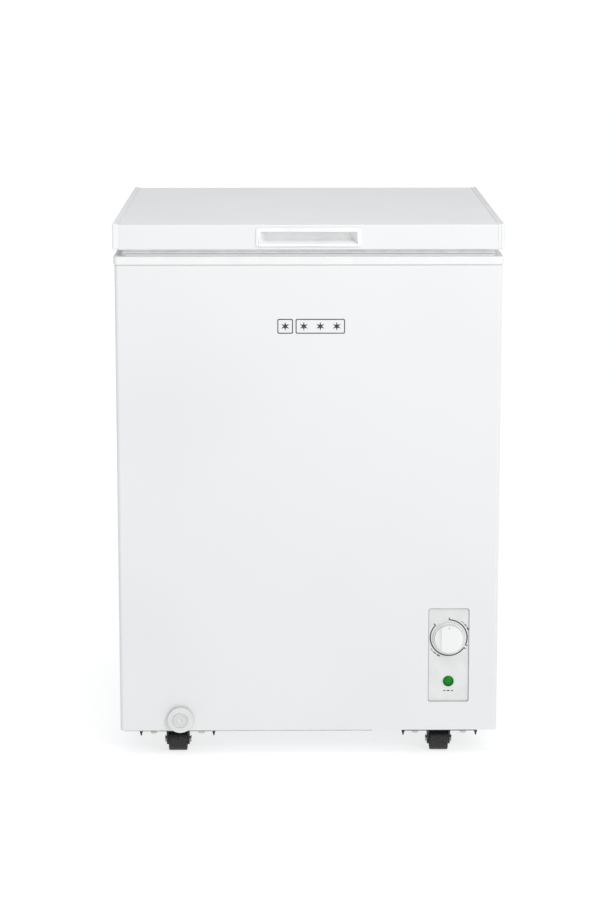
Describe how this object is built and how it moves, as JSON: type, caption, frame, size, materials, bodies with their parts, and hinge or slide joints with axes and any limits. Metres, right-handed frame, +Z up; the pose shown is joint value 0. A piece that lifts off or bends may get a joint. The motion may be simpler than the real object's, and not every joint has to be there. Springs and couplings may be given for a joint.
{
  "type": "chest freezer",
  "caption": "Upright-proportioned white chest freezer with a hinged foamed lid, front grip, thermostat knob, drain plug, wire basket and rollers.",
  "frame": {"origin": "under the middle of the whole object, on the floor", "axes": "+X to the right seen from the front, +Y to the back, +Z up"},
  "size_m": [0.6, 0.556, 0.85],
  "materials": {
    "enamel": "gloss white enamel",
    "trim": "moulded white",
    "liner": "formed white sheet",
    "galvanised": "zinc spangle",
    "foam": "foamed",
    "tube_steel": "drawn",
    "copper": "drawn",
    "black_paint": "black enamel",
    "rubber": "matte",
    "gasket": "soft satin",
    "zinc": "bright zinc",
    "spring_steel": "oiled",
    "black_plastic": "moulded",
    "box_plastic": "moulded",
    "lens": "clear green",
    "hose": "satin",
    "wire_coat": "dip coated"
  },
  "bodies": {
    "cabinet": {"cabinet_wrap": "enamel", "back_panel": "enamel", "base_panel": "galvanised", "insulation_foam": "foam", "inner_liner": "liner", "rim_frame": "trim", "machine_bay_liner": "galvanised", "evaporator_coil": "tube_steel", "condenser_coil": "copper", "compressor": "black_paint", "compressor_feet": "black_paint", "compressor_grommets": "rubber", "compressor_bolts": "zinc", "compressor_base": "galvanised", "relay_cover": "black_plastic", "filter_drier": "copper", "suction_pipe": "copper", "discharge_pipe": "copper", "capillary_tube": "copper", "terminal_box": "box_plastic", "cord_gland": "black_plastic", "bay_cover": "enamel", "bay_cover_screws": "zinc", "control_panel": "trim", "thermostat": "zinc", "lamp_lens": "lens", "lamp_holder": "trim", "drain_spout": "trim", "drain_hose": "hose", "drain_funnel": "trim", "hinge_bracket_left": "enamel", "hinge_bracket_right": "enamel", "hinge_pins": "zinc", "hinge_springs": "spring_steel", "hinge_screws": "zinc", "roller_bracket_fl": "black_paint", "roller_bracket_fr": "black_paint", "roller_bracket_rl": "black_paint", "roller_bracket_rr": "black_paint", "roller_axles": "zinc", "roller_bolts": "zinc"},
    "lid": {"lid_skin": "enamel", "lid_end_cap_left": "trim", "lid_end_cap_right": "trim", "lid_foam": "foam", "lid_liner": "liner", "lid_gasket": "gasket", "lid_grip": "trim", "hinge_arm_left": "enamel", "hinge_arm_right": "enamel", "hinge_arm_screws": "zinc"},
    "knob": {"knob": "trim", "knob_spindle": "zinc"},
    "drain_plug": {"drain_plug": "trim"},
    "drain_stopper": {"drain_stopper": "trim"},
    "basket": {"wire_basket": "wire_coat"},
    "roller_fl": {"roller_fl": "black_plastic"},
    "roller_fr": {"roller_fr": "black_plastic"},
    "roller_rl": {"roller_rl": "black_plastic"},
    "roller_rr": {"roller_rr": "black_plastic"}
  },
  "joints": [
    {"name": "lid_hinge", "type": "hinge", "parent": "cabinet", "child": "lid", "pos_m": [0, 0.27, 0.812], "axis": [-1, 0, 0], "range_deg": [0, 80], "stiffness_Nm_per_rad": 5, "springref_deg": 80.21},
    {"name": "knob_turn", "type": "hinge", "parent": "cabinet", "child": "knob", "pos_m": [0.2205, -0.266, 0.1935], "axis": [0, 1, 0], "range_deg": [0, 315]},
    {"name": "drain_plug_pull", "type": "slide", "parent": "cabinet", "child": "drain_plug", "axis": [0, -1, 0], "range_m": [0, 0.06]},
    {"name": "drain_stopper_lift", "type": "slide", "parent": "cabinet", "child": "drain_stopper", "axis": [0, 0, 1], "range_m": [0, 0.1]},
    {"name": "basket_slide", "type": "slide", "parent": "cabinet", "child": "basket", "axis": [-1, 0, 0], "range_m": [0, 0.265]},
    {"name": "roller_fl_spin", "type": "hinge", "parent": "cabinet", "child": "roller_fl", "pos_m": [-0.2075, -0.2355, 0.018], "axis": [1, 0, 0], "continuous": true},
    {"name": "roller_fr_spin", "type": "hinge", "parent": "cabinet", "child": "roller_fr", "pos_m": [0.2075, -0.2355, 0.018], "axis": [1, 0, 0], "continuous": true},
    {"name": "roller_rl_spin", "type": "hinge", "parent": "cabinet", "child": "roller_rl", "pos_m": [-0.2075, 0.22, 0.018], "axis": [1, 0, 0], "continuous": true},
    {"name": "roller_rr_spin", "type": "hinge", "parent": "cabinet", "child": "roller_rr", "pos_m": [0.2075, 0.22, 0.018], "axis": [1, 0, 0], "continuous": true}
  ]
}
